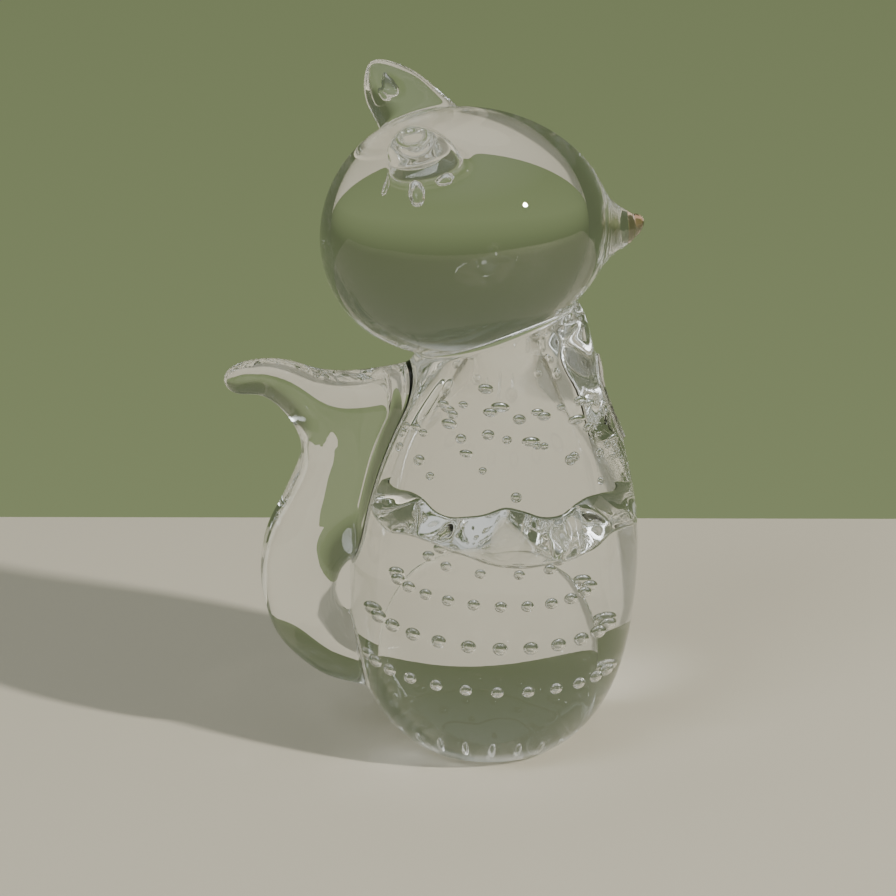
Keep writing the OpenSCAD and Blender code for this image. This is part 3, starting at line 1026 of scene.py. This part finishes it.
def build_figure():
    """Makes every piece from its patch of skin, its halves of the joints and the air caught in it."""
    p, tris, labels = gather_skins()
    skin_normal = skin_normals(p)
    patches = [tris[labels == k] for k in range(8)]
    # each seam: (lower piece, upper piece, surface the joint follows)
    seams = [(BODY, HEAD, sd_head), (HEAD, EAR_L, sd_head), (HEAD, EAR_R, sd_head), (HEAD, SNOUT, sd_head),
             (SNOUT, NOSE, lambda x, y, z: head_axis(x, z, HEAD_TILT - SNOUT_DROP)[0] - SNOUT_END),
             (BODY, TAIL, sd_body), (BODY, CORE, None)]
    extra = {k: [] for k in range(8)}
    for low, high, surface in seams:
        for loop in seam_loops(patches[low], patches[high]):
            # the loop runs the way the lower patch's edge does, so its cap is wound against it
            if surface is None:
                pts, faces = dome_rings(p[loop], SKIN_GAP)
                extra[low].append((loop, pts, faces[:, ::-1], 1))
                pts, faces = dome_rings(p[loop])
                extra[high].append((loop, pts, faces, 2))
                continue
            pts, faces = cap_rings(p[loop], surface, CAP_RINGS)
            # the tail was only laid against the body, so the joint still shows as a bright line
            look, inset = (0, TAIL_GAP * gradient_of(surface, pts)) if high == TAIL else (1, 0.0)
            extra[low].append((loop, pts - inset, faces[:, ::-1], look))
            extra[high].append((loop, pts, faces, look))
    hollows = {BODY: bubbles() + [veil()], HEAD: [head_pocket(*spec) for spec in HEAD_POCKETS],
               EAR_L: [ear_pocket(*FAR_EAR, *EAR_POCKET)]}
    for k, node in enumerate(NAMES):
        slot_name, mat = ("rose_glass", rose_mat) if k == NOSE else ("clear_glass", clear_mat)
        used, packed = np.unique(patches[k], return_inverse=True)
        place = np.full(len(p), -1, np.int64)
        place[used] = np.arange(len(used))
        points, normals = [p[used]], [skin_normal[used]]
        faces, slots = [packed.reshape(-1, 3)], [np.zeros(len(patches[k]), int)]
        total = len(used)
        for loop, pts, cap, look in extra[k]:
            lookup = np.concatenate([place[loop], total + np.arange(len(pts))])
            faces.append(lookup[cap])
            slots.append(np.full(len(cap), look))
            points.append(pts)
            normals.append(cap_normals(np.concatenate([p[loop], pts]), cap)[len(loop):])
            total += len(pts)
        for pts, f, nn in hollows.get(k, []):
            faces.append(f + total)
            slots.append(np.zeros(len(f), int))
            points.append(pts)
            normals.append(nn)
            total += len(pts)
        parts = [np.concatenate(made) for made in (points, faces, normals, slots)]
        make_piece("glass_" + node, node, mat, parts)


build_figure()

# ---- studio: a pale table top that ends behind the figure, and a soft sage backdrop all round ----
# metres from the figure's centre to the table's edges, seen from the camera's side, and its thickness
TABLE_BACK, TABLE_FRONT, TABLE_SIDE, TABLE_THICK = 0.1173, 1.2, 1.2, 0.03
# a hair below the ground base, so light gets under the glass as it does on a real table
TABLE_DROP = 0.00025
AZ_DEG, EL_DEG = -6.0, 20.0
SAGE = (0.215, 0.262, 0.128, 1)
# colour of the surroundings from straight down, at 0, to straight up, at 1
BACKDROP = [(0.0, (0.17, 0.21, 0.10, 1)), (0.32, SAGE), (0.36, (0.184, 0.225, 0.108, 1)),
            (0.43, (0.105, 0.128, 0.062, 1)), (0.82, (0.095, 0.115, 0.068, 1)), (1.0, (0.78, 0.80, 0.78, 1))]


def build_table():
    mesh = bpy.data.meshes.new("studio_table")
    xs, ys = (-TABLE_SIDE, TABLE_SIDE), (-TABLE_FRONT, TABLE_BACK)
    turn = math.radians(AZ_DEG)
    c, s = math.cos(turn), math.sin(turn)
    v = [(x * c - y * s, x * s + y * c, z) for z in (-TABLE_DROP, -TABLE_THICK) for y in ys for x in xs]
    f = [(0, 1, 3, 2), (4, 6, 7, 5), (0, 4, 5, 1), (2, 3, 7, 6), (0, 2, 6, 4), (1, 5, 7, 3)]
    mesh.from_pydata(v, [], f)
    mat, shader = new_material("pale_paint")
    setp(shader, "Base Color", (0.61, 0.570, 0.474, 1))
    setp(shader, "Roughness", 0.55)
    setp(shader, "Specular IOR Level", 0.25)
    mesh.materials.append(mat)
    obj = bpy.data.objects.new("studio_table", mesh)
    bpy.context.scene.collection.objects.link(obj)


def build_backdrop():
    world = bpy.data.worlds.new("studio")
    bpy.context.scene.world = world
    world.use_nodes = True
    nt = world.node_tree
    back = nt.nodes["Background"]
    coords = nt.nodes.new("ShaderNodeTexCoord")
    split = nt.nodes.new("ShaderNodeSeparateXYZ")
    half = nt.nodes.new("ShaderNodeMapRange")
    ramp = nt.nodes.new("ShaderNodeValToRGB")
    for key, value in (("From Min", -1.0), ("From Max", 1.0), ("To Min", 0.0), ("To Max", 1.0)):
        setp(half, key, value)
    nt.links.new(coords.outputs["Generated"], split.inputs[0])
    nt.links.new(split.outputs["Z"], half.inputs["Value"])
    nt.links.new(half.outputs["Result"], ramp.inputs["Fac"])
    nt.links.new(ramp.outputs["Color"], back.inputs["Color"])
    stops = ramp.color_ramp.elements
    stops[0].position, stops[0].color = BACKDROP[0]
    stops[1].position, stops[1].color = BACKDROP[-1]
    for place, color in BACKDROP[1:-1]:
        stop = stops.new(place)
        stop.color = color
    setp(back, "Strength", 1.0)


build_table()
build_backdrop()

# the sun from the right and a soft light from the left: place, width in metres, watts, colour
KEY = ((1.15, -0.95, 1.0), 0.09, 36.0, (1.0, 0.95, 0.87))
FILL = ((-1.0, -1.1, 1.5), 0.9, 10.0, (0.95, 0.97, 1.0))
LIGHT_AIM = (0, 0, 0.06)


def area_light(name, place, size, watts, color):
    data = bpy.data.lights.new(name, "AREA")
    data.shape = "DISK"
    data.size = size
    data.energy = watts
    data.color = color
    obj = bpy.data.objects.new(name, data)
    bpy.context.scene.collection.objects.link(obj)
    obj.location = place
    obj.rotation_euler = (Vector(LIGHT_AIM) - Vector(place)).to_track_quat("-Z", "Y").to_euler()
    return obj


area_light("key", *KEY)
fill = area_light("fill", *FILL)
fill.visible_glossy = False

# ---- camera at the photograph's viewing angle ----
AZ, EL = math.radians(AZ_DEG), math.radians(EL_DEG)
CAM_DIST, CAM_LENS, CAM_HEIGHT = 1.2, 257.0, 0.065
# the middle of the picture lies this far left of and below the point the camera turns round
AIM_LEFT, AIM_DOWN = 0.00671, 0.00596
target = Vector((0, 0, CAM_HEIGHT))
toward = Vector((math.sin(AZ) * math.cos(EL), -math.cos(AZ) * math.cos(EL), math.sin(EL)))
right = Vector((math.cos(AZ), math.sin(AZ), 0))
up = toward.cross(right)
cam_data = bpy.data.cameras.new("camera")
cam_data.sensor_width = 36.0
cam_data.lens = CAM_LENS
cam_data.clip_start, cam_data.clip_end = 0.05, 60.0
cam = bpy.data.objects.new("camera", cam_data)
bpy.context.scene.collection.objects.link(cam)
cam.location = target + toward * CAM_DIST
aim_at = target - right * AIM_LEFT - up * AIM_DOWN
cam.rotation_euler = (aim_at - cam.location).to_track_quat("-Z", "Y").to_euler()
bpy.context.scene.camera = cam

# light turns many times inside solid glass before it finds a way out
BOUNCES = 400
cycles = bpy.context.scene.cycles
cycles.max_bounces = BOUNCES
cycles.transmission_bounces = BOUNCES
cycles.glossy_bounces = BOUNCES
cycles.transparent_max_bounces = BOUNCES
cycles.blur_glossy = 0.0
